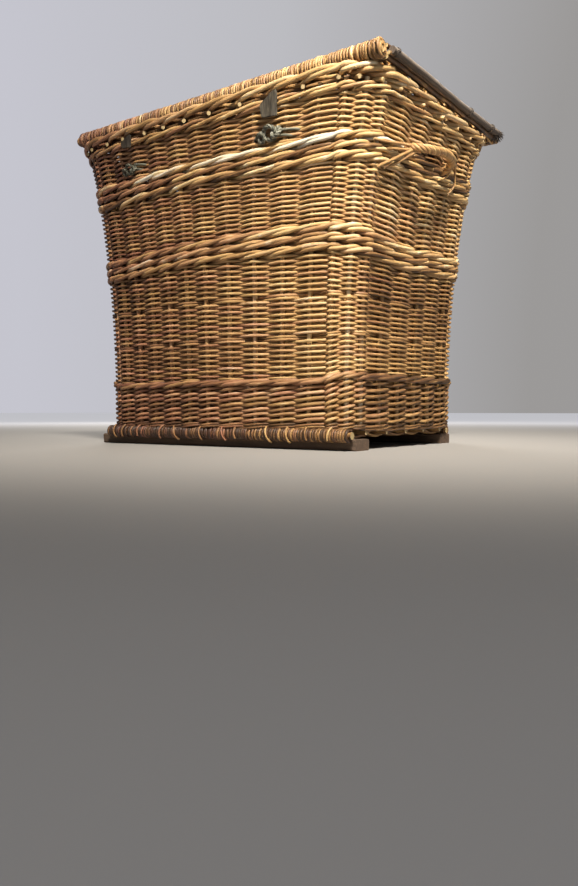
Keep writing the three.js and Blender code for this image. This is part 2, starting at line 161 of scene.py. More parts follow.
def beside(path, outward, closed):
    """Unit vectors square to a path at each point: the one nearest to outward, and one beside it."""
    if closed:
        tangent = np.roll(path, -1, 0) - np.roll(path, 1, 0)
    else:
        tangent = np.gradient(path, axis=0)
    tangent /= np.linalg.norm(tangent, axis=1, keepdims=True)
    outward = np.broadcast_to(np.asarray(outward, float), path.shape)
    normal = outward - (outward * tangent).sum(1, keepdims=True) * tangent
    normal /= np.linalg.norm(normal, axis=1, keepdims=True)
    return normal, np.cross(tangent, normal)


class Rods:
    """Collects round rods and makes one mesh of them, with a length, a girth and a tint on each point."""

    def __init__(self, name, seed):
        self.name = name
        self.rng = np.random.default_rng(SEED + seed)
        self.points, self.along, self.look, self.quads, self.tris = [], [], [], [], []
        self.quad_uv, self.tri_uv = [], []
        self.count = 0
        self.rods = 0

    def add(self, path, radius, outward, tint, sides=6, closed=False):
        """One rod through path (n, 3). outward is the side of it that its first facet faces."""
        path = np.asarray(path, float)
        n = len(path)
        tint = np.broadcast_to(np.asarray(tint, float), (n,))
        radius = np.broadcast_to(np.asarray(radius, float), (n,))
        normal, side = beside(path, outward, closed)
        turn = np.arange(sides) * 2 * math.pi / sides
        ring = np.cos(turn)[:, None] * normal[:, None] + np.sin(turn)[:, None] * side[:, None]
        skin = path[:, None] + radius[:, None, None] * ring
        steps = np.linalg.norm(np.diff(path, axis=0), axis=1)
        length = np.concatenate([[0], np.cumsum(steps)])
        one = self.rng.random()
        start = self.count
        along = (length[:, None] + one * 3, turn * radius.mean(), one)
        self.put(skin, along, (tint[:, None], 0.0, np.cos(turn)))
        rings = n if closed else n - 1
        i = np.arange(rings)[:, None]
        j = np.arange(sides)[None, :]
        k = (j + 1) % sides
        here, ahead = start + i * sides, start + (i + 1) % n * sides
        self.quads.append(np.stack([here + j, here + k, ahead + k, ahead + j], -1).reshape(-1, 4))
        u = (i[..., None] + np.array([0, 0, 1, 1])) / rings * length[-1]
        v = (j[..., None] + np.array([0, 1, 1, 0])) / sides * 0.88 + self.rods + 0.04
        self.quad_uv.append(np.stack(np.broadcast_arrays(u, v), -1).reshape(-1, 2))
        if not closed:
            for end in (0, n - 1):
                self.cap(skin[end], path[end], tint[end], one, end == 0)
        self.rods += 1

    def add_on_wall(self, q, z, out, radius, tint, sides=6):
        """One rod that lies along the wall's face, or out from it by out."""
        self.add(wall_point(q, z, out), radius, outward_at(q, z), tint, sides)

    def put(self, points, along, look):
        """Adds points with two triples of values, each a number or an array that fits the points."""
        shape = points.shape[:-1]
        self.points.append(points.reshape(-1, 3))
        for store, parts in ((self.along, along), (self.look, look)):
            filled = [np.broadcast_to(np.asarray(part, float), shape) for part in parts]
            store.append(np.stack(filled, -1).reshape(-1, 3))
        self.count += math.prod(shape)

    def cap(self, rim, middle, tint, one, first):
        """A flat cut end. Its look says how far each point is from the middle of the cut."""
        sides = len(rim)
        start = self.count
        from_middle = np.append(np.ones(sides), 0.0)
        self.put(np.vstack([rim, middle]), (one * 3, 0.0, one), (tint, 1.0, from_middle))
        here = np.arange(sides)
        ahead = (here + 1) % sides
        pair = (ahead, here) if first else (here, ahead)
        self.tris.append(start + np.stack([np.full(sides, sides), *pair], -1))
        self.tri_uv.append(np.tile((0.0, self.rods + 0.96), (sides * 3, 1)))

    def finish(self, material, body, slot, *nodes):
        finish_piece(self.mesh(), material, body, slot, *nodes)

    def mesh(self):
        """The mesh object: smooth sides, flat cut ends, and each rod a strip of its own in UV."""
        points = np.vstack(self.points)
        quads = np.vstack(self.quads)
        tris = np.vstack(self.tris) if self.tris else np.zeros((0, 3), int)
        data = bpy.data.meshes.new(self.name)
        data.vertices.add(len(points))
        data.vertices.foreach_set("co", points.ravel())
        corners = np.concatenate([quads.ravel(), tris.ravel()])
        data.loops.add(len(corners))
        data.loops.foreach_set("vertex_index", corners)
        data.polygons.add(len(quads) + len(tris))
        starts = np.concatenate([np.arange(len(quads)) * 4, len(quads) * 4 + np.arange(len(tris)) * 3])
        data.polygons.foreach_set("loop_start", starts)
        data.polygons.foreach_set("use_smooth", np.arange(len(starts)) < len(quads))
        for name, values in (("rod", self.along), ("look", self.look)):
            layer = data.attributes.new(name, "FLOAT_VECTOR", "POINT")
            layer.data.foreach_set("vector", np.vstack(values).ravel())
        uv = np.vstack([*self.quad_uv, *self.tri_uv])
        uv[:, 0] /= max(uv[:, 0].max(), 1e-6)
        uv[:, 1] /= self.rods
        data.uv_layers.new(name="OFBake").data.foreach_set("uv", uv.ravel())
        data.update(calc_edges=True)
        data.validate()
        return add_object(self.name, data)


def add_object(name, data):
    made = bpy.data.objects.new(name, data)
    bpy.context.scene.collection.objects.link(made)
    return made


def finish_piece(piece, material, body, slot, *nodes):
    """Gives the piece its look, rides it on its body and hides the CAD nodes it stands for."""
    piece.data.materials.append(material)
    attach(piece, body)
    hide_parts(*nodes)


# ---- materials ----


def node(tree, kind, **settings):
    made = tree.nodes.new(kind)
    for key, value in settings.items():
        setattr(made, key, value)
    return made


def math_node(tree, operation, *values):
    made = node(tree, "ShaderNodeMath", operation=operation)
    for slot, value in enumerate(values):
        if isinstance(value, (int, float)):
            made.inputs[slot].default_value = value
        else:
            tree.links.new(value, made.inputs[slot])
    return made.outputs[0]


def mix_colour(tree, factor, a, b, blend="MIX"):
    made = node(tree, "ShaderNodeMix", data_type="RGBA", blend_type=blend)
    for name, value in (("Factor", factor), ("A", a), ("B", b)):
        sockets = [s for s in made.inputs if s.name == name and s.enabled]
        if isinstance(value, (int, float)):
            sockets[0].default_value = value
        elif isinstance(value, tuple):
            sockets[0].default_value = (*value, 1.0)
        else:
            tree.links.new(value, sockets[0])
    return [s for s in made.outputs if s.enabled][0]


def ramp(tree, factor, stops):
    made = node(tree, "ShaderNodeValToRGB")
    elements = made.color_ramp.elements
    while len(elements) < len(stops):
        elements.new(0.5)
    for element, (position, colour) in zip(elements, stops):
        element.position = position
        element.color = (*colour, 1.0)
    tree.links.new(factor, made.inputs[0])
    return made.outputs[0]


def new_material(name, roughness):
    material = bpy.data.materials.new(name)
    material.use_nodes = True
    shader = material.node_tree.nodes["Principled BSDF"]
    shader.inputs["Roughness"].default_value = roughness
    return material, material.node_tree, shader


def rod_inputs(tree):
    """Length along, place around and rod number; then tint, cut end or not, and facing.

    Facing runs from 1, where a rod faces out of the weave, to -1 on its hidden side. On a cut end
    it is the distance from the cut's middle instead.
    """
    found = []
    for name in ("rod", "look"):
        source = node(tree, "ShaderNodeAttribute", attribute_name=name)
        found += list(split(tree, source.outputs["Vector"]))
    return found


def noise(tree, vector, scale, detail):
    made = node(tree, "ShaderNodeTexNoise")
    made.inputs["Scale"].default_value = scale
    made.inputs["Detail"].default_value = detail
    tree.links.new(vector, made.inputs["Vector"])
    return made.outputs["Fac"]


def rod_noise(tree, rod, stretch, scale, detail):
    """Noise drawn out along the rod, given its length along, place around and rod number."""
    along, around, number = rod
    join = node(tree, "ShaderNodeCombineXYZ")
    tree.links.new(math_node(tree, "MULTIPLY", along, 1 / stretch), join.inputs[0])
    tree.links.new(around, join.inputs[1])
    tree.links.new(math_node(tree, "MULTIPLY", number, 7.0), join.inputs[2])
    return noise(tree, join.outputs[0], scale, detail)


def place(tree):
    """Where the point is, as a vector."""
    return node(tree, "ShaderNodeTexCoord").outputs["Object"]


def place_noise(tree, scale, detail):
    return noise(tree, place(tree), scale, detail)


def split(tree, vector):
    """A vector's X, Y and Z."""
    made = node(tree, "ShaderNodeSeparateXYZ")
    tree.links.new(vector, made.inputs[0])
    return made.outputs


def stretched(tree, scale):
    """Where the point is, scaled by its own amount along each axis."""
    made = node(tree, "ShaderNodeMapping")
    made.inputs["Scale"].default_value = scale
    tree.links.new(place(tree), made.inputs[0])
    return made.outputs[0]


def bumped(tree, shader, height, strength, distance):
    made = node(tree, "ShaderNodeBump")
    made.inputs["Strength"].default_value = strength
    made.inputs["Distance"].default_value = distance
    tree.links.new(height, made.inputs["Height"])
    tree.links.new(made.outputs[0], shader.inputs["Normal"])


# Willow bark and wood, from deep shade through tan to rubbed and pale. Golden, then redder.
GOLDEN = (
    (0.00, (0.050, 0.025, 0.010)),
    (0.22, (0.178, 0.088, 0.032)),
    (0.45, (0.398, 0.222, 0.080)),
    (0.68, (0.600, 0.380, 0.152)),
    (0.86, (0.700, 0.520, 0.270)),
    (1.00, (0.780, 0.700, 0.540)),
)
RUSSET = (
    (0.00, (0.045, 0.018, 0.011)),
    (0.22, (0.150, 0.056, 0.031)),
    (0.45, (0.340, 0.145, 0.076)),
    (0.68, (0.520, 0.265, 0.145)),
    (0.86, (0.640, 0.415, 0.265)),
    (1.00, (0.740, 0.620, 0.500)),
)
GREEN_WILLOW = (
    (0.0, (0.014, 0.014, 0.010)),
    (0.4, (0.058, 0.055, 0.036)),
    (0.8, (0.160, 0.155, 0.110)),
    (1.0, (0.290, 0.280, 0.215)),
)
GREY_ROD = (
    (0.0, (0.040, 0.029, 0.022)),
    (0.4, (0.150, 0.115, 0.088)),
    (0.8, (0.330, 0.275, 0.225)),
    (1.0, (0.450, 0.400, 0.350)),
)
CUT_WOOD = (0.52, 0.38, 0.18)
OLD_CUT = (0.11, 0.080, 0.060)

# The tone a rod gains where it faces out of the weave: for each unit of facing, and at none. This is
# painted shade on each rod's hidden side, in the crevices of the weave, and painted light where it faces
# out.
FACING_SHADE = (0.26, -0.17)
# How much painted shade darkens the low half of the right end.
LOW_END_SHADE = 0.44


def spread(tree, value, by):
    """A 0 to 1 value centred on nought and scaled."""
    return math_node(tree, "MULTIPLY_ADD", value, by, -by / 2)


def add_all(tree, *terms):
    total = terms[0]
    for term in terms[1:]:
        total = math_node(tree, "ADD", total, term)
    return total


def eased(tree, value, start, stop, top=1.0, kind="SMOOTHSTEP"):
    """0 up to start and top past stop, where start may be the greater of the two."""
    made = node(tree, "ShaderNodeMapRange", interpolation_type=kind)
    made.inputs["From Min"].default_value = start
    made.inputs["From Max"].default_value = stop
    made.inputs["To Max"].default_value = top
    tree.links.new(value, made.inputs["Value"])
    return made.outputs[0]


def shaded_low_end(tree, x, z):
    """1 over the low half of the right end, where shade is painted in, and 0 elsewhere."""
    past_corner = eased(tree, x, 0.296, 0.322)
    low_down = eased(tree, z, 0.38, 0.27)
    return math_node(tree, "MULTIPLY", past_corner, low_down)


# The patch of painted shadow on the wall behind a handle: its half width, half height and middle.
SHADOW_HALF_Y = 0.066
SHADOW_HALF_Z = 0.021
SHADOW_Z = 0.535


def shadow_behind_handle(tree, x, y, z):
    """1 on the wall inside a handle's bow, where the handle's shadow is painted, and 0 elsewhere."""
    end_wall = eased(tree, math_node(tree, "ABSOLUTE", x), 0.325, 0.335)
    across = math_node(tree, "MULTIPLY_ADD", y, 1 / SHADOW_HALF_Y, -CENTRE_Y / SHADOW_HALF_Y)
    up = math_node(tree, "MULTIPLY_ADD", z, 1 / SHADOW_HALF_Z, -SHADOW_Z / SHADOW_HALF_Z)
    squares = (math_node(tree, "POWER", part, 2.0) for part in (across, up))
    inside = eased(tree, math_node(tree, "ADD", *squares), 1.5, 0.5)
    return math_node(tree, "MULTIPLY", end_wall, inside)


def bleached(tree, rod, amount):
    """Short stretches of rod that the bark has left pale."""
    return eased(tree, rod_noise(tree, rod, 2.2, 70.0, 2.0), 0.56, 0.70, top=amount, kind="LINEAR")


def willow(
    name,
    left_tone_and_shade,
    gold=GOLDEN,
    red=RUSSET,
    cut_wood=CUT_WOOD,
    roughness=0.50,
    wear=0.34,
    bleach=0.0,
    handle_shadow=0.5,
):
    """Willow rods: each its own tone, streaked along, blotched, and ringed where they are cut."""
    material, tree, shader = new_material(name, roughness)
    *rod, tint, cut, facing = rod_inputs(tree)
    streak = rod_noise(tree, rod, 16.0, 520.0, 5.0)
    blotch = rod_noise(tree, rod, 2.0, 60.0, 3.0)
    weather = place_noise(tree, 4.0, 3.0)
    x, y, z = split(tree, place(tree))
    tone = add_all(
        tree,
        tint,
        spread(tree, streak, 0.50),
        spread(tree, blotch, 0.46),
        spread(tree, weather, wear),
        # Darker towards -X: partly the willow's own tone, partly painted shade where the light falls off.
        math_node(tree, "MULTIPLY", x, left_tone_and_shade),
        # Painted shade on the hidden side of each rod, painted light on the side that faces out.
        math_node(tree, "MULTIPLY_ADD", facing, *FACING_SHADE),
        # Painted shade over the low half of the right end.
        math_node(tree, "MULTIPLY", shaded_low_end(tree, x, z), -LOW_END_SHADE),
        # The handle's shadow, painted on the wall inside its bow.
        math_node(tree, "MULTIPLY", shadow_behind_handle(tree, x, y, z), -handle_shadow),
    )
    if bleach:
        tone = math_node(tree, "ADD", tone, bleached(tree, rod, bleach))
    redness = add_all(
        tree,
        spread(tree, place_noise(tree, 2.3, 3.0), 1.6),
        spread(tree, rod[2], 0.9),
        spread(tree, rod_noise(tree, rod, 6.0, 30.0, 2.0), 1.0),
        math_node(tree, "MULTIPLY", x, -1.5),
    )
    share = math_node(tree, "ADD", redness, 0.38)
    share.node.use_clamp = True
    colour = mix_colour(tree, share, ramp(tree, tone, gold), ramp(tree, tone, red))
    rings = math_node(tree, "SINE", math_node(tree, "MULTIPLY", facing, 20.0))
    ring_tone = math_node(tree, "MULTIPLY_ADD", rings, 0.16, 0.82)
    cut_colour = mix_colour(tree, 1.0, cut_wood, ring_tone, "MULTIPLY")
    colour = mix_colour(tree, cut, colour, cut_colour)
    tree.links.new(colour, shader.inputs["Base Color"])
    gloss = math_node(tree, "MULTIPLY_ADD", blotch, 0.35, roughness - 0.17)
    tree.links.new(gloss, shader.inputs["Roughness"])
    bumped(tree, shader, streak, strength=0.5, distance=0.0007)
    return material


def board_material():
    """Rough sawn dark board with grain along X."""
    material, tree, shader = new_material("runner_board", 0.8)
    grain = noise(tree, stretched(tree, (4.0, 90.0, 90.0)), 2.2, 5.0)
    stops = ((0.25, (0.030, 0.016, 0.009)), (0.55, (0.095, 0.052, 0.028)), (0.8, (0.20, 0.125, 0.07)))
    colour = ramp(tree, grain, stops)
    dust = mix_colour(tree, place_noise(tree, 9.0, 2.0), colour, (0.16, 0.12, 0.09))
    tree.links.new(mix_colour(tree, 0.5, colour, dust), shader.inputs["Base Color"])
    bumped(tree, shader, grain, strength=0.6, distance=0.001)
    return material


def leather_material():
    """Old dark leather, creased down its length and rubbed, and darker still towards -X, where shade is
    painted in.
    """
    material, tree, shader = new_material("strap_leather", 0.62)
    pebble = node(tree, "ShaderNodeTexVoronoi")
    pebble.inputs["Scale"].default_value = 900.0
    tree.links.new(place(tree), pebble.inputs["Vector"])
    rub = noise(tree, stretched(tree, (9.0, 1.0, 1.0)), 45.0, 4.0)
    stops = ((0.30, (0.018, 0.014, 0.009)), (0.52, (0.052, 0.041, 0.027)), (0.72, (0.145, 0.118, 0.078)))
    # Painted shade: darker towards -X, where the light falls off.
    painted_falloff = eased(tree, split(tree, place(tree))[0], -0.30, 0.12)
    colour = mix_colour(tree, painted_falloff, (0.022, 0.015, 0.009), ramp(tree, rub, stops))
    tree.links.new(colour, shader.inputs["Base Color"])
    bumped(tree, shader, pebble.outputs["Distance"], strength=0.5, distance=0.0003)
    return material


def iron_material():
    """Dark nail iron with a little rust."""
    material, tree, shader = new_material("iron_nail", 0.55)
    shader.inputs["Metallic"].default_value = 0.8
    stops = ((0.35, (0.05, 0.045, 0.04)), (0.7, (0.16, 0.075, 0.035)))
    tree.links.new(ramp(tree, place_noise(tree, 300.0, 3.0), stops), shader.inputs["Base Color"])
    return material


siding_look = willow("willow_siding", left_tone_and_shade=0.62, wear=0.44)
wale_look = willow("willow_wale", left_tone_and_shade=0.30, bleach=0.30)
border_look = willow("willow_border", left_tone_and_shade=0.46, bleach=0.14)
stake_look = willow("willow_stake", left_tone_and_shade=0.50)
base_look = willow("willow_base", left_tone_and_shade=0.36)
lid_look = willow("willow_lid", left_tone_and_shade=0.24, wear=0.5, bleach=0.30)
handle_look = willow("willow_handle", left_tone_and_shade=0.0, bleach=0.10, handle_shadow=0.0)
green_look = willow("green_willow", 0.6, GREEN_WILLOW, GREEN_WILLOW, roughness=0.55)
grey_look = willow("weathered_rod", 0.0, GREY_ROD, GREY_ROD, OLD_CUT, roughness=0.7)
board_look = board_material()
leather_look = leather_material()
iron_look = iron_material()


# ---- weaving round the wall ----

# How many stakes each rod of a plain row passes, and how far its ends lie past its first and last.
RAND_SPANS = (12, 10, 12, 8)
RAND_OVERLAP = 0.3
SIDING_TINT = 0.43
SIDING_TINT_SPREAD = 0.07
# Two gentle waves, this many stakes long, by which a rod wanders up and down.
WANDER_LENGTHS = (9.0, 3.7)
# How much darker a rod is for each step back into the weave: painted shade in the weave's recesses.
SUNK_SHADE = 0.13


def wavy(rng, p, size):
    """A gentle repeatable wander along the weave."""
    total = np.zeros_like(p)
    for length in WANDER_LENGTHS:
        total += np.sin(2 * math.pi * (p / length + rng.random()))
    return size * total / len(WANDER_LENGTHS)


def randing(rods, z0, z1, pitch, radius):
    """Plain weave: each row goes outside one stake and inside the next, and the next row swaps."""
    rows = round((z1 - z0) / pitch)
    step = (z1 - z0) / rows
    for row in range(rows):
        z = z0 + (row + 0.5) * step
        first = 2 * rods.rng.integers(0, STAKE_COUNT // 2) + 1 - row % 2
        for span in rods.rng.permutation(RAND_SPANS):
            one_rand(rods, first, span, row, z, radius)
            first += span
        for stake in range(row % 2, STAKE_COUNT, 2):
            short_end(rods, stake, z, radius)


def one_rand(rods, first, span, row, z, radius):
    """One rod of plain weave, thick end first; its ends rest inside the hamper."""
    samples = 8 * span + 5
    p = np.linspace(first - RAND_OVERLAP, first + span + RAND_OVERLAP, samples)
    turn = math.pi * (p + row)
    # The first three terms of a triangle wave, so that a rod runs almost straight between stakes.
    wave = (np.cos(turn) + np.cos(3 * turn) / 9 + np.cos(5 * turn) / 25) / 1.151
    tail = np.clip(np.abs(p - first - span / 2) - span / 2, 0, 1) * 0.010
    out = -STAKE_INSET + (STAKE_R + radius) * wave - tail
    height = z + wavy(rods.rng, p, 0.0003)
    q = q_of(p)
    taper = radius * np.linspace(1.05, 0.97, samples) * (1 + spread_apart(q, z))
    # Painted shade: darker where the rod lies back in the weave.
    shade = SIDING_TINT + rods.rng.normal() * SIDING_TINT_SPREAD + SUNK_SHADE * (wave - 0.5)
    rods.add_on_wall(q, height, out, taper, shade)


def spread_apart(q, z):
    """How much further apart than level rows the rows lie at q and z, as a share."""
    reach = 0.010
    apart = (unevenness(q, z + reach) - unevenness(q, z - reach)) / (2 * reach)
    return np.maximum(apart, 0)


def short_end(rods, stake, z, radius):
    """A rod's end left inside the hamper, lying behind a stake in the gap between two rows."""
    p = np.linspace(stake - 0.56, stake + 0.56, 7)
    q = q_of(p)
    height = np.full_like(p, z)
    out = -STAKE_INSET - (STAKE_R + radius) * np.cos(0.35 * math.pi * (p - stake))
    girth = 0.94 * radius * (1 + spread_apart(q, z))
    # Darker than the siding: painted shade inside the weave.
    rods.add_on_wall(q, height, out, girth, SIDING_TINT - 0.10)


def twining(rods, z, strands, radius, rise, tint, tint_spread, proud=0.0, spans=(14, 16, 12)):
    """A twisted row: each strand passes outside (strands - 1) stakes, climbing, then inside one."""
    for strand in range(strands):
        first = int(rods.rng.integers(0, STAKE_COUNT))
        for span in spans:
            samples = 8 * span + 5
            p = np.linspace(first - 0.2, first + span + 0.2, samples)
            s = np.mod((p - strand + 0.5) / strands, 1.0)
            behind = np.abs(s - (1 - 0.5 / strands)) * strands
            behind = np.minimum(behind, strands - behind)
            across = -np.cos(math.pi * np.minimum(behind, 1.0))
            front = (strands - 1) / strands
            climb = np.where(s < front, s / front, (1 - s) / (1 - front))
            lift = -0.5 * np.cos(math.pi * climb)
            out = -STAKE_INSET + (STAKE_R + radius) * across + proud * (across > 0) * across
            height = z + rise * lift + wavy(rods.rng, p, 0.0009)
            # Painted shade: darker where the strand lies back in the weave.
            shade = tint + rods.rng.normal() * tint_spread + SUNK_SHADE * (across - 0.7)
            q = q_of(p)
            thick = radius * (1 + 0.06 * rods.rng.normal())
            taper = thick * np.linspace(1.06, 0.94, samples)
            rods.add_on_wall(q, height, out, taper, shade, sides=8)
            first += span


def course(name, seed):
    """The bottom and top of a course of the wall, and the rods to weave it with."""
    low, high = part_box(name)
    return low.z, high.z, Rods(f"{name}_weave", seed)


def make_siding(name, pitch, radius, seed, parts):
    """A band of plain weave, in as many pieces as keep each one light, tucked under its neighbours."""
    low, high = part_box(name)
    edges = np.linspace(low.z - 0.0015, high.z + 0.0025, parts + 1)
    for part in range(parts):
        rods = Rods(f"{name}_weave_{part + 1}", seed + part)
        randing(rods, edges[part], edges[part + 1], pitch, radius)
        rods.finish(siding_look, "body", "willow_siding", name)


def make_wale(name, seed):
    """Three rows of three-rod wale, the rope-like bands of the wall."""
    z0, z1, rods = course(name, seed)
    rows = 3
    pitch = (z1 - z0) / rows
    for row in range(rows):
        z = z0 + (row + 0.5) * pitch
        twining(rods, z, strands=3, radius=0.0041, rise=0.0080, tint=0.41, tint_spread=0.22)
    rods.finish(wale_look, "body", "willow_wale", name)


def make_foot():
    """The foot: two fine rows of paired twining, seven thicker ones and one three-rod row on top."""
    z0, z1, rods = course("foot_wale", 40)
    thick_row = 0.0135
    for z in (z0 + 0.0025, z0 + 0.0077):
        twining(rods, z, strands=2, radius=0.0024, rise=0.0035, tint=0.18, tint_spread=0.07)
    start = z0 + 0.0115
    rows = 7
    pitch = (z1 - thick_row - start) / rows
    for row in range(rows):
        z = start + (row + 0.5) * pitch
        twining(rods, z, strands=2, radius=0.0030, rise=0.0048, tint=0.33, tint_spread=0.11)
    thick = dict(strands=3, radius=0.0038, rise=0.0075, tint=0.34, tint_spread=0.10, proud=0.0015)
    twining(rods, z1 - thick_row / 2, **thick)
    for row in range(rows + 1):
        inner_rod(rods, start + row * pitch, -0.0215, 0.0028)
    rods.finish(wale_look, "body", "willow_wale", "foot_wale")


def make_stakes():
    """The upright stakes, from the foot to under the border."""
    rods = Rods("stakes", 60)
    z = np.linspace(0.039, 0.616, 24)
    taper = STAKE_R * np.linspace(1.04, 0.92, len(z))
    for q in STAKE_Q:
        shade = 0.62 + rods.rng.normal() * 0.07
        rods.add_on_wall(q, z, -STAKE_INSET, taper, shade, sides=8)
    nodes = [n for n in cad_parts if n.startswith(("corner_post_", "stake_"))]
    rods.finish(stake_look, "body", "willow_stake", *nodes)


def make_top_wale():
    """One three-rod row under the border."""
    z0, z1, rods = course("top_wale", 70)
    row = dict(strands=3, radius=0.0038, rise=0.0086, tint=0.40, tint_spread=0.12, proud=0.001)
    twining(rods, (z0 + z1) / 2 - 0.0022, **row)
    rods.finish(wale_look, "body", "willow_wale", "top_wale")


def make_border():
    """The border: the stakes turned down into a thick three-rod twist, with their cut ends showing."""
    z0, z1, rods = course("border", 80)
    twist = dict(strands=3, radius=0.0049, rise=0.0098, tint=0.38, tint_spread=0.14, proud=0.0035)
    twining(rods, (z0 + z1) / 2 + 0.0032, spans=(20, 22), **twist)
    for k in range(STAKE_COUNT):
        cut_end(rods, k + 0.42, z0 + 0.0004)
    for z in (z0 - 0.001, z0 + 0.006):
        inner_rod(rods, z, -0.0165, 0.0040)
    rods.finish(border_look, "body", "willow_border", "border")


def inner_rod(rods, z, out, radius):
    """A rod laid round inside the stakes, as the tips of other rods are when they are tucked away. Its
    dark tint is painted shade seen through gaps in the weave.
    """
    p = np.linspace(0, STAKE_COUNT, 4 * STAKE_COUNT + 1)
    q = q_of(p)
    height = z + wavy(rods.rng, p, 0.0005)
    rods.add_on_wall(q, height, out, radius, 0.12)


def cut_end(rods, p, z):
    """A stake's cut end, poking out between the border and the wale below it."""
    f = np.linspace(0, 1, 5)
    lean = rods.rng.uniform(0.12, 0.30)
    q = q_of(p + lean * f)
    out = -0.014 + rods.rng.uniform(0.017, 0.022) * f
    height = z + 0.003 - 0.004 * f
    girth = rods.rng.uniform(0.0034, 0.0042)
    rods.add_on_wall(q, height, out, girth, 0.5, sides=9)


make_stakes()
make_foot()
make_siding("siding_lower", pitch=0.0048, radius=0.00257, seed=100, parts=3)
make_wale("wale_middle", 44)
make_siding("siding_middle", pitch=0.0047, radius=0.00253, seed=120, parts=2)
make_wale("wale_upper", 48)
make_siding("siding_upper", pitch=0.0050, radius=0.00266, seed=140, parts=1)
make_top_wale()
make_border()


# ---- flat panels: lid and base, rods woven over cross sticks and wrapped round the edge sticks ----

# Weavers lie this far apart, wrap this far round an edge stick, and stop this far short of the
# back edge stick where they would come nearer than LOOP_ROOM to the middle of a hinge loop.
PANEL_PITCH = 0.0054
WRAP_TURN = math.radians(330)
BACK_BEAD = 0.024
LOOP_ROOM = 0.0082
# One weaver in eight is paler than the rest.
PALE_SHARE = 0.12
PALE_GAIN = 0.26


def panel_row(x, side, sticks, edge_y, edge_z, edge_r, stick_r, radius, level):
    """One weaver's path at x: round the front edge stick, over and under, round the back one."""
    wrap = edge_r + radius
    over = stick_r + radius
    last = side * (-1) ** (len(sticks) + 1)
    steps = np.linspace(0, 1, 14)
    front = math.pi / 2 + WRAP_TURN * (1 - steps)
    back = math.pi / 2 - WRAP_TURN * steps
    knots_y = [edge_y[0], *sticks, edge_y[1]]
    crossings = [side * over * (-1) ** (k + 1) + level for k in range(len(sticks))]
    knots_z = [side * wrap, *crossings, last * wrap]
    y = [edge_y[0] + wrap * np.cos(front)]
    z = [edge_z + side * wrap * np.sin(front)]
    for k in range(len(sticks) + 1):
        f = np.linspace(0, 1, 9)[1:]
        if k == len(sticks):
            f = f[:-1]
        ease = (1 - np.cos(math.pi * f)) / 2
        y.append(knots_y[k] + (knots_y[k + 1] - knots_y[k]) * f)
        z.append(edge_z + knots_z[k] + (knots_z[k + 1] - knots_z[k]) * ease)
    y.append(edge_y[1] + wrap * np.cos(back))
    z.append(edge_z + last * wrap * np.sin(back))
    return points_at(x, np.concatenate(y), np.concatenate(z))


def woven_panel(rods, x0, x1, tint, loops, shape):
    """Weavers side by side from x0 to x1, over and under by turns, with room left for the loops."""
    count = round((x1 - x0) / PANEL_PITCH)
    step = (x1 - x0) / count
    for k in range(count):
        x = x0 + (k + 0.5) * step
        side = 1 if k % 2 else -1
        loose = shape["edge_r"] + rods.rng.uniform(0, 0.0009)
        path = panel_row(x, side, **(shape | {"edge_r": loose}))
        slant = rods.rng.uniform(-0.5, 0.5) * np.cos(np.linspace(0, 9, len(path)))
        path[:, 0] += slant * step + rods.rng.normal() * 0.0005
        if any(abs(x - at) < LOOP_ROOM for at in loops):
            path = path[path[:, 1] < shape["edge_y"][1] - BACK_BEAD]
        if rods.rng.random() < PALE_SHARE:
            tone = tint + PALE_GAIN
        else:
            tone = tint + rods.rng.normal() * 0.09
        rods.add(path, shape["radius"] * (1 + 0.09 * rods.rng.normal()), (1, 0, 0), tone)


def stick(rods, x0, x1, y, z, r, tint, sides):
    """A straight stick along X, slightly uneven."""
    f = np.linspace(-1, 1, 28)
    x = (x0 + x1) / 2 + (x1 - x0) / 2 * f
    wander = 0.0004 * np.sin(9 * f + 40 * y)
    path = points_at(x, y + wander, z)
    rods.add(path, r * (1 + 0.02 * np.sin(13 * f + 7)), (0, 0, 1), tint, sides=sides)


def make_sticks(panel, seed, material, body, slot, past, edge, inner):
    """A panel's edge and inner sticks, each kind with a height, a radius, a tint and its sides.

    The inner ones reach past the panel's left end, and past their own right ends, by past.
    """
    rods = Rods(f"{panel}_sticks", seed)
    ends = (f"{panel}_stick_front", f"{panel}_stick_back")
    for name in ends:
        low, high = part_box(name)
        stick(rods, low.x, high.x, middle_of(name).y, *edge)
    names = inner_sticks(panel)
    x0, x1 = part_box(f"{panel}_panel")[0].x - past[0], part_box(names[0])[1].x + past[1]
    for name in names:
        stick(rods, x0, x1, middle_of(name).y, *inner)
    rods.finish(material, body, slot, *ends, *names)


def inner_sticks(panel):
    """The names of the sticks between a panel's edges, from the front back."""
    names = [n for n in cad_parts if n.startswith(f"{panel}_stick_") and n[-1].isdigit()]
    return sorted(names, key=lambda n: int(n.rsplit("_", 1)[1]))


# What binds each end of the lid, from its last weaver out: how far past it, how high, how thick. These
# rods are tinted nearly black, as painted shade under the edge rod.
LID_BINDING = ((0.0076, -0.0088, 0.0043), (0.0076, 0.0088, 0.0043), (0.0128, -0.0034, 0.0036))


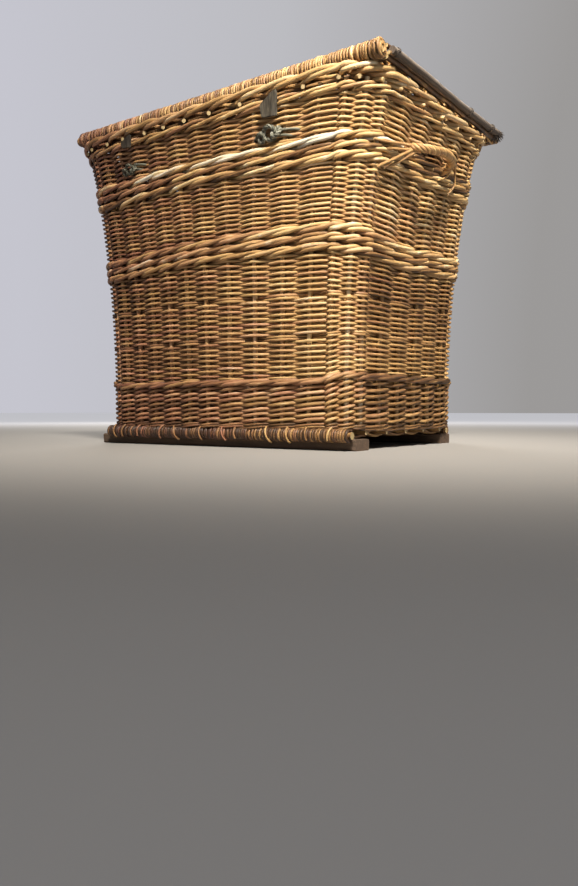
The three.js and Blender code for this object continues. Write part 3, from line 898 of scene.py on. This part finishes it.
def make_lid():
    """The lid: weavers over cross sticks, bound at its ends."""
    low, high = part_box("lid_panel")
    front, back = middle_of("lid_stick_front"), middle_of("lid_stick_back")
    rows_y = [middle_of(n).y for n in inner_sticks("lid")]
    hinges = [middle_of(f"hinge_loop_{k}").x for k in (1, 2, 3)]
    edge_r = front.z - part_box("lid_stick_front")[0].z
    shape = dict(sticks=rows_y, edge_y=(front.y, back.y), edge_z=front.z, edge_r=edge_r)
    shape |= dict(stick_r=0.005, radius=0.0026, level=0.0)
    weave = Rods("lid_weave", 200)
    woven_panel(weave, low.x, high.x, 0.40, hinges, shape)
    # A filler weaver at the lid's right end, tinted dark as painted shade in the gap under the edge rod.
    path = panel_row(high.x + 0.0014, -1, **shape)
    inside = (path[:, 1] > front.y + 0.017) & (path[:, 1] < back.y - BACK_BEAD)
    weave.add(path[inside], 0.0028, (1, 0, 0), 0.10)
    for past, up, girth in LID_BINDING:
        y = np.linspace(front.y + 0.014, back.y - 0.016, 60)
        x = high.x + past + 0.0006 * np.sin(60 * y)
        z = front.z + up + 0.0006 * np.sin(41 * y + 1)
        # Nearly black: painted shade under the edge rod.
        weave.add(points_at(x, y, z), girth, (1, 0, 0), 0.02, sides=8)
    for at in (front, back):
        for x in (low.x - 0.004, high.x + 0.0015, high.x + 0.0062):
            end_wrap(weave, x, at, edge_r)
        for x in (low.x - 0.0165, high.x + 0.0092):
            end_wrap(weave, x, at, edge_r - 0.0068)
    weave.finish(lid_look, "lid", "willow_lid", "lid_panel")
    edge, inner = (front.z, edge_r, 0.62, 20), (front.z, 0.0055, 0.6, 8)
    make_sticks("lid", 210, lid_look, "lid", "willow_lid", (0.004, 0), edge, inner)


def end_wrap(rods, x, at, edge_r):
    """A thicker rod coiled once round the end of an edge stick."""
    turn = np.linspace(0, 2.15 * math.pi, 40) + rods.rng.uniform(0, 6)
    r = rods.rng.uniform(0.0027, 0.0032)
    reach = edge_r + r + 0.0002
    coil = x + 0.0012 * np.sin(turn * 0.5)
    path = points_at(coil, at.y + reach * np.cos(turn), at.z + reach * np.sin(turn))
    rods.add(path, r, (1, 0, 0), rods.rng.uniform(0.30, 0.58), sides=8)


def make_edge_rods():
    """The smooth weathered rods that close the lid's two ends."""
    rods = Rods("lid_edge_rods", 220)
    for name in ("lid_edge_rod_left", "lid_edge_rod_right"):
        low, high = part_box(name)
        middle = middle_of(name)
        f = np.linspace(0, 1, 40)
        y = low.y + (high.y - low.y) * f
        x = middle.x + 0.0010 * np.sin(7 * f)
        z = middle.z + 0.0008 * np.sin(5 * f + 1)
        r = (high.z - low.z) / 2 * (1 + 0.04 * np.sin(11 * f) + 0.03 * np.sin(27 * f))
        path = points_at(x, y, z)
        rods.add(path, r, (0, 0, 1), 0.62, sides=16)
        for at in (0.03, 0.66, 0.90):
            tie(rods, path[round(at * 39)], r[0])
        frayed_end(rods, path[-1], r[0])
        frayed_end(rods, path[-1] - (np.sign(path[-1][0]) * 0.006, 0.004, 0.006), r[0])
    rods.finish(grey_look, "lid", "weathered_rod", "lid_edge_rod_left", "lid_edge_rod_right")


def tie(rods, middle, inner):
    """A thin weaver bound round a rod."""
    turn = np.linspace(0, 2 * math.pi, 22)
    reach = inner + 0.0010
    y = middle[1] + 0.0035 * np.sin(turn * 0.5 + 1)
    path = points_at(middle[0] + reach * np.cos(turn), y, middle[2] + reach * np.sin(turn))
    rods.add(path, 0.0016, (0, 1, 0), 0.42, sides=6)


def frayed_end(rods, tip, inner):
    """Broken fibres that splay out of the end of an old rod."""
    for _ in range(70):
        angle = rods.rng.uniform(0, 2 * math.pi)
        start = inner * rods.rng.uniform(0.2, 0.9)
        f = np.linspace(0, 1, 6)
        reach = start + rods.rng.uniform(0.000, 0.007) * f**1.5
        x = tip[0] + reach * math.cos(angle)
        y = tip[1] - rods.rng.uniform(0.004, 0.022) + rods.rng.uniform(0.006, 0.014) * f
        z = tip[2] + reach * math.sin(angle) - rods.rng.uniform(0.002, 0.009) * f
        r = 0.0011 * (1 - 0.7 * f)
        rods.add(points_at(x, y, z), r, (1, 0, 0), rods.rng.uniform(-0.1, 0.3), sides=5)


BASE_EDGE_R = 0.0066
BASE_ROD_R = 0.0027


def loose_wrap(rods, x, y, z):
    """A paler rod laid aslant over the front bead of the base."""
    turn = np.linspace(0.62, 1.42, 12) * math.pi
    reach = BASE_EDGE_R + 2 * BASE_ROD_R + 0.0022
    slant = x + rods.rng.uniform(-0.012, 0.012) * np.linspace(-0.5, 0.5, 12)
    path = points_at(slant, y + reach * np.cos(turn), z + reach * np.sin(turn))
    short = rods.rng.integers(0, 4)
    rods.add(path[: 12 - short], 0.0019, (1, 0, 0), rods.rng.uniform(0.25, 0.55), sides=7)


def make_base():
    """The base: a woven bottom whose front bead runs on past its back one."""
    low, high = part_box("base_panel")
    front, back = middle_of("base_stick_front"), middle_of("base_stick_back")
    names = inner_sticks("base")
    rows_y = [middle_of(n).y for n in names]
    level = middle_of(names[0]).z - front.z
    bead_z = front.z + 0.0018
    shape = dict(sticks=rows_y, edge_y=(front.y, back.y), edge_z=bead_z, edge_r=BASE_EDGE_R)
    shape |= dict(stick_r=0.0045, radius=BASE_ROD_R, level=level)
    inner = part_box("base_stick_back")[1].x
    weave = Rods("base_weave", 240)
    woven_panel(weave, low.x, inner, 0.10, (), shape)
    for x in np.arange(inner + PANEL_PITCH / 2, high.x, PANEL_PITCH):
        path = panel_row(x + weave.rng.normal() * 0.0006, 1, **shape)
        tint = 0.20 + weave.rng.normal() * 0.1
        weave.add(path[path[:, 1] < front.y + 0.016], 0.0029, (1, 0, 0), tint)
    for x in np.arange(low.x + 0.012, high.x, 0.050):
        loose_wrap(weave, x + weave.rng.uniform(-0.018, 0.018), front.y, bead_z)
    weave.finish(base_look, "body", "willow_base", "base_panel")
    edge, inner = (bead_z, 0.0062, 0.5, 14), (bead_z + level, 0.0045, 0.5, 8)
    make_sticks("base", 250, base_look, "body", "willow_base", (0.002, 0.004), edge, inner)


make_lid()
make_edge_rods()
make_base()


# ---- handles, loops and straps ----

# The bow at the right end, from its near end to its far one, where it goes into the wall.
HANDLE_PATH = (
    (0.331, -0.098, 0.5300),
    (0.349, -0.102, 0.5290),
    (0.362, -0.106, 0.5260),
    (0.376, -0.105, 0.5230),
    (0.387, -0.095, 0.5215),
    (0.392, -0.071, 0.5240),
    (0.391, -0.036, 0.5300),
    (0.384, 0.007, 0.5345),
    (0.372, 0.038, 0.5340),
    (0.359, 0.050, 0.5300),
    (0.347, 0.056, 0.5280),
    (0.331, 0.058, 0.5250),
)
# Its loose ends: radius, tone and points. Two cross below its near end, two lead in beside them,
# and two hang behind its far end.
HANDLE_TAILS = (
    (0.0032, 0.40, (0.366, -0.112, 0.519), (0.361, -0.126, 0.511), (0.354, -0.153, 0.496),
     (0.342, -0.192, 0.475)),
    (0.0030, 0.36, (0.368, -0.106, 0.515), (0.361, -0.120, 0.506), (0.354, -0.136, 0.495),
     (0.340, -0.163, 0.480)),
    (0.0032, 0.50, (0.366, -0.100, 0.528), (0.3585, -0.124, 0.527), (0.3535, -0.158, 0.522),
     (0.341, -0.200, 0.519)),
    (0.0030, 0.42, (0.366, -0.104, 0.522), (0.3565, -0.126, 0.518), (0.3520, -0.150, 0.514),
     (0.340, -0.176, 0.510)),
    (0.0023, 0.50, (0.372, 0.040, 0.541), (0.363, 0.073, 0.540), (0.355, 0.092, 0.528),
     (0.351, 0.099, 0.510), (0.341, 0.088, 0.490)),
    (0.0024, 0.60, (0.369, 0.046, 0.531), (0.359, 0.060, 0.524), (0.352, 0.052, 0.513),
     (0.341, 0.030, 0.505)),
)


def smooth_path(points, samples):
    """A Catmull-Rom curve through the points, evenly spaced."""
    points = np.asarray(points, float)
    padded = np.vstack([2 * points[0] - points[1], points, 2 * points[-1] - points[-2]])
    pieces = []
    t = np.linspace(0, 1, 24, endpoint=False)[:, None]
    for k in range(len(padded) - 3):
        a, b, c, d = padded[k : k + 4]
        square, cube = 2 * a - 5 * b + 4 * c - d, 3 * b - a - 3 * c + d
        pieces.append(0.5 * (2 * b + (c - a) * t + square * t**2 + cube * t**3))
    dense = np.vstack([*pieces, padded[-2][None]])
    length = np.concatenate([[0], np.cumsum(np.linalg.norm(np.diff(dense, axis=0), axis=1))])
    at = np.linspace(0, length[-1], samples)
    return np.stack([np.interp(at, length, dense[:, k]) for k in range(3)], -1)


def roped(rods, path, strands, strand_r, around, turns, tints, closed=False, up=(0, 0, 1)):
    """Strands twisted about a path, like a rope."""
    normal, side = beside(path, up, closed)
    n = len(path)
    f = np.arange(n) / (n if closed else n - 1)
    for k in range(strands):
        turn = 2 * math.pi * (turns * f + k / strands)
        reach = np.cos(turn)[:, None] * normal + np.sin(turn)[:, None] * side
        rods.add(path + around * reach, strand_r, reach, tints[k % len(tints)], sides=8, closed=closed)


def make_handle(name, side):
    """A bow of willow roped with thinner rods, its tails woven away into the wale."""
    path = smooth_path(on_side(HANDLE_PATH, side), 150)
    rods = Rods(f"{name}_rope", 300 + side)
    rods.add(path, 0.0042, (0, 0, 1), 0.4, sides=8)
    tints = (0.42, 0.56, 0.36, 0.60, 0.46, 0.50)
    roped(rods, path, strands=6, strand_r=0.0029, around=0.0050, turns=6, tints=tints)
    for radius, tint, *points in HANDLE_TAILS:
        tail = smooth_path(on_side(points, side), 40)
        rods.add(tail, radius * np.linspace(1.0, 0.75, len(tail)), (side, 0, 0), tint, sides=8)
    rods.finish(handle_look, "body", "willow_handle", name)


def on_side(points, side):
    """The right end's points, or the same turned half round for the left end."""
    return [(side * x, side * y + CENTRE_Y, z) for x, y, z in points]


def front_point(x, z, out):
    """A point on the front wall at x and z."""
    half_x, _, radius, _ = wall_at(z)
    return wall_point((x / (half_x - radius) + 1) / 2, z, out)


# A noose's rings: across and up from its middle, half width, half height, lean outwards and tone.
NOOSE_RINGS = (
    (0.0015, 0.0010, 0.0125, 0.0100, 0.0050, 0.62),
    (0.0150, 0.0005, 0.0075, 0.0085, -0.0040, 0.60),
    (-0.0170, -0.0035, 0.0065, 0.0065, 0.0030, 0.50),
)
# Its ends: where each starts and stops along the wall from the middle, and how far above it.
NOOSE_ENDS = ((0.018, 0.058, 0.006), (0.018, 0.046, -0.003), (-0.018, -0.040, 0.002))


def make_noose(name, seed, size):
    """A knot of twisted willow that stands out of the front wall, its ends run into the weave."""
    middle = middle_of(name)
    rods = Rods(f"{name}_twist", seed)
    turn = np.arange(48) * 2 * math.pi / 48
    for across, up, half_x, half_z, lean, tint in NOOSE_RINGS:
        x = middle.x + size * (across + half_x * np.cos(turn))
        y = middle.y - lean * np.sin(turn)
        z = middle.z + size * (up + half_z * np.sin(turn))
        tints = (tint, tint + 0.2, tint - 0.15)
        strand = dict(strands=3, strand_r=0.0021 * size, around=0.0020 * size, turns=3, tints=tints)
        roped(rods, points_at(x, y, z), closed=True, up=(0, -1, 1), **strand)
    for start, stop, up in NOOSE_ENDS:
        f = np.linspace(0, 1, 16)
        x = middle.x + size * (start + (stop - start) * f)
        height = middle.z + up - 0.003 * f
        tail = front_point(x, height, 0.001 - 0.012 * f**4)
        rods.add(tail, 0.0024, (0, -1, 0), 0.62, sides=7)
    rods.finish(green_look, "body", "green_willow", name)


LOOP_THICK = 0.007


def make_hinge_loop(number):
    """A twisted willow loop round the lid's back stick and the border."""
    name = f"hinge_loop_{number}"
    low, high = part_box(name)
    radius = (high.y - low.y) / 2 - LOOP_THICK / 2
    leg = (high.z - low.z) / 2 - LOOP_THICK / 2 - radius
    turn = np.arange(64) * 2 * math.pi / 64
    y = radius * np.cos(turn)
    z = radius * np.sin(turn) + leg * np.tanh(6 * np.sin(turn))
    ring = np.array(middle_of(name)) + points_at(0, y, z)
    rods = Rods(f"{name}_twist", 330 + number)
    strand = dict(strands=2, strand_r=0.0021, around=0.0019, turns=9, tints=(0.5, 0.65))
    roped(rods, ring, closed=True, up=(1, 0, 0), **strand)
    rods.finish(green_look, "body", "green_willow", name)


make_handle("handle_right", 1)
make_handle("handle_left", -1)
make_noose("noose_right", 320, 1.0)
make_noose("noose_left", 322, 0.76)
for loop_number in (1, 2, 3):
    make_hinge_loop(loop_number)


# How far down a strap, as a share of its length, and how wide it is there.
STRAP_WIDTH = ((0.0, 0.42, 0.75, 1.0), (0.009, 0.035, 0.034, 0.030))


def make_strap(name, body, share):
    """A leather tongue, narrow at one side of its top, folded down its middle and slack at its foot."""
    low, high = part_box(name)
    columns, rows = 14, 16
    u, v = np.meshgrid(np.linspace(0, 1, columns), np.linspace(0, 1, rows))
    right = (low.x + high.x) / 2 + share * (high.x - low.x) / 2
    width = share * np.interp(v, *STRAP_WIDTH)
    x = right - width * (1 - u) + 0.0004 * np.sin(9 * v)
    z = high.z + 0.003 - v * (high.z - low.z + 0.003) - 0.0025 * u * v
    fold = 0.0020 * np.exp(-(((u - 0.70) / 0.13) ** 2)) + 0.0024 * (1 - u) ** 2
    y = (low.y + high.y) / 2 - fold * (0.35 + 0.65 * v) + 0.0010 * np.sin(3 * v)
    points = points_at(x, y, z).reshape(-1, 3)
    corner = (np.arange(rows - 1)[:, None] * columns + np.arange(columns - 1)).ravel()
    faces = corner[:, None] + np.array([0, columns, columns + 1, 1])
    data = bpy.data.meshes.new(f"{name}_leather")
    data.from_pydata(points.tolist(), [], faces.tolist())
    data.polygons.foreach_set("use_smooth", [True] * len(faces))
    piece = add_object(f"{name}_leather", data)
    thick = piece.modifiers.new("thick", "SOLIDIFY")
    thick.thickness = high.y - low.y - 0.0006
    thick.offset = 0
    edge = piece.modifiers.new("edge", "BEVEL")
    edge.width = 0.0007
    edge.segments = 2
    finish_piece(piece, leather_look, body, "strap_leather", name)


make_strap("strap_right", "strap_right_flap", 1.0)
make_strap("strap_left", "strap_left_flap", 0.74)


# ---- runners: rough boards with worn edges ----


def make_runner(name, seed):
    """A board with chamfered, uneven edges and a flat foot."""
    (x0, y0, z0), (x1, y1, z1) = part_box(name)
    rng = np.random.default_rng(SEED + seed)
    samples = 60
    c = 0.0025
    lower = [(y0, z0 + c), (y0 + c, z0), (y1 - c, z0), (y1, z0 + c)]
    upper = [(y1, z1 - c), (y1 - c, z1), (y0 + c, z1), (y0, z1 - c)]
    section = lower[1:] + upper + lower[:1]
    count = len(section)
    points, faces = [], []
    for x in np.linspace(x0, x1, samples):
        for y, z in section:
            rough_y, rough_z = rng.normal(size=2) * 0.0004
            points.append((x, y + rough_y, z + rough_z if z > z0 else z))
    for k in range(samples - 1):
        for j in range(count):
            a, b = k * count + j, k * count + (j + 1) % count
            faces.append((a, b, b + count, a + count))
    faces.append(tuple(reversed(range(count))))
    faces.append(tuple((samples - 1) * count + j for j in range(count)))
    data = bpy.data.meshes.new(f"{name}_board")
    data.from_pydata(points, [], faces)
    finish_piece(add_object(f"{name}_board", data), board_look, "body", "runner_board", name)


make_runner("runner_front", 400)
make_runner("runner_back", 401)
for node_name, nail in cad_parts.items():
    if node_name.startswith("nail_"):
        nail.data.materials.clear()
        nail.data.materials.append(iron_look)


# ---- floor, light and camera ----


def make_floor():
    """A grey floor that glows more the further off it lies, and so fades into the backdrop."""
    bpy.ops.mesh.primitive_plane_add(size=40)
    floor = bpy.context.object
    floor.name = "floor"
    material, tree, shader = new_material("pale_floor", 0.9)
    shader.inputs["Base Color"].default_value = (0.34, 0.32, 0.30, 1)
    squares = (math_node(tree, "POWER", part, 2.0) for part in split(tree, place(tree))[:2])
    far = eased(tree, math_node(tree, "ADD", *squares), 0.6, 9.0)
    shader.inputs["Emission Color"].default_value = (0.50, 0.50, 0.53, 1)
    tree.links.new(far, shader.inputs["Emission Strength"])
    floor.data.materials.append(material)


def area_light(name, at, towards, size, power, colour, beam=180):
    data = bpy.data.lights.new(name, "AREA")
    data.size = size
    data.energy = power
    data.color = colour
    data.spread = math.radians(beam)
    light = add_object(name, data)
    light.location = at
    direction = Vector(towards) - Vector(at)
    light.rotation_euler = direction.to_track_quat("-Z", "Y").to_euler()


def make_world():
    """A pale backdrop for the eye, dimmer towards +X and +Y, and a much dimmer even light from it."""
    world = bpy.data.worlds.new("studio")
    bpy.context.scene.world = world
    world.use_nodes = True
    tree = world.node_tree
    seen = tree.nodes["Background"]
    way_x, way_y, _ = split(tree, node(tree, "ShaderNodeTexCoord").outputs["Generated"])
    towards = math_node(tree, "MULTIPLY_ADD", math_node(tree, "ADD", way_x, way_y), 0.8, 0.35)
    stops = ((0.15, (0.56, 0.56, 0.62)), (0.50, (0.50, 0.50, 0.53)), (0.85, (0.33, 0.32, 0.315)))
    tree.links.new(ramp(tree, towards, stops), seen.inputs[0])
    lit = node(tree, "ShaderNodeBackground")
    lit.inputs[0].default_value = (0.80, 0.88, 1.0, 1)
    lit.inputs[1].default_value = 0.075
    ray = node(tree, "ShaderNodeLightPath")
    blend = node(tree, "ShaderNodeMixShader")
    tree.links.new(ray.outputs["Is Camera Ray"], blend.inputs[0])
    tree.links.new(lit.outputs[0], blend.inputs[1])
    tree.links.new(seen.outputs[0], blend.inputs[2])
    tree.links.new(blend.outputs[0], tree.nodes["World Output"].inputs[0])


def make_lights():
    """A warm key on the lid and the near corner, a weak cool fill, and light from above and behind."""
    area_light("key", (1.40, -1.35, 2.20), (0.40, -0.17, 0.60), 0.36, 14, (1.0, 0.94, 0.84), beam=52)
    area_light("fill", (1.2, -2.4, 0.9), (0, 0, 0.3), 1.8, 4, (0.95, 0.96, 1.0))
    area_light("top", (0.1, 0.5, 3.4), (0, 0.2, 0), 2.6, 42, (1.0, 0.97, 0.92))
    area_light("back", (-1.9, 2.1, 1.5), (0, 0.1, 0.3), 1.3, 48, (1.0, 0.96, 0.90))


def make_camera():
    data = bpy.data.cameras.new("camera")
    camera = add_object("camera", data)
    camera.location = (0.987, -1.325 + CENTRE_Y, 0.069)
    camera.rotation_euler = (math.radians(90 - 2.41), 0, math.radians(36.07))
    data.sensor_width = 36
    data.lens = 31.17
    data.clip_start = 0.02
    bpy.context.scene.camera = camera
    bpy.context.scene.view_settings.view_transform = "Standard"


make_floor()
make_world()
make_lights()
make_camera()
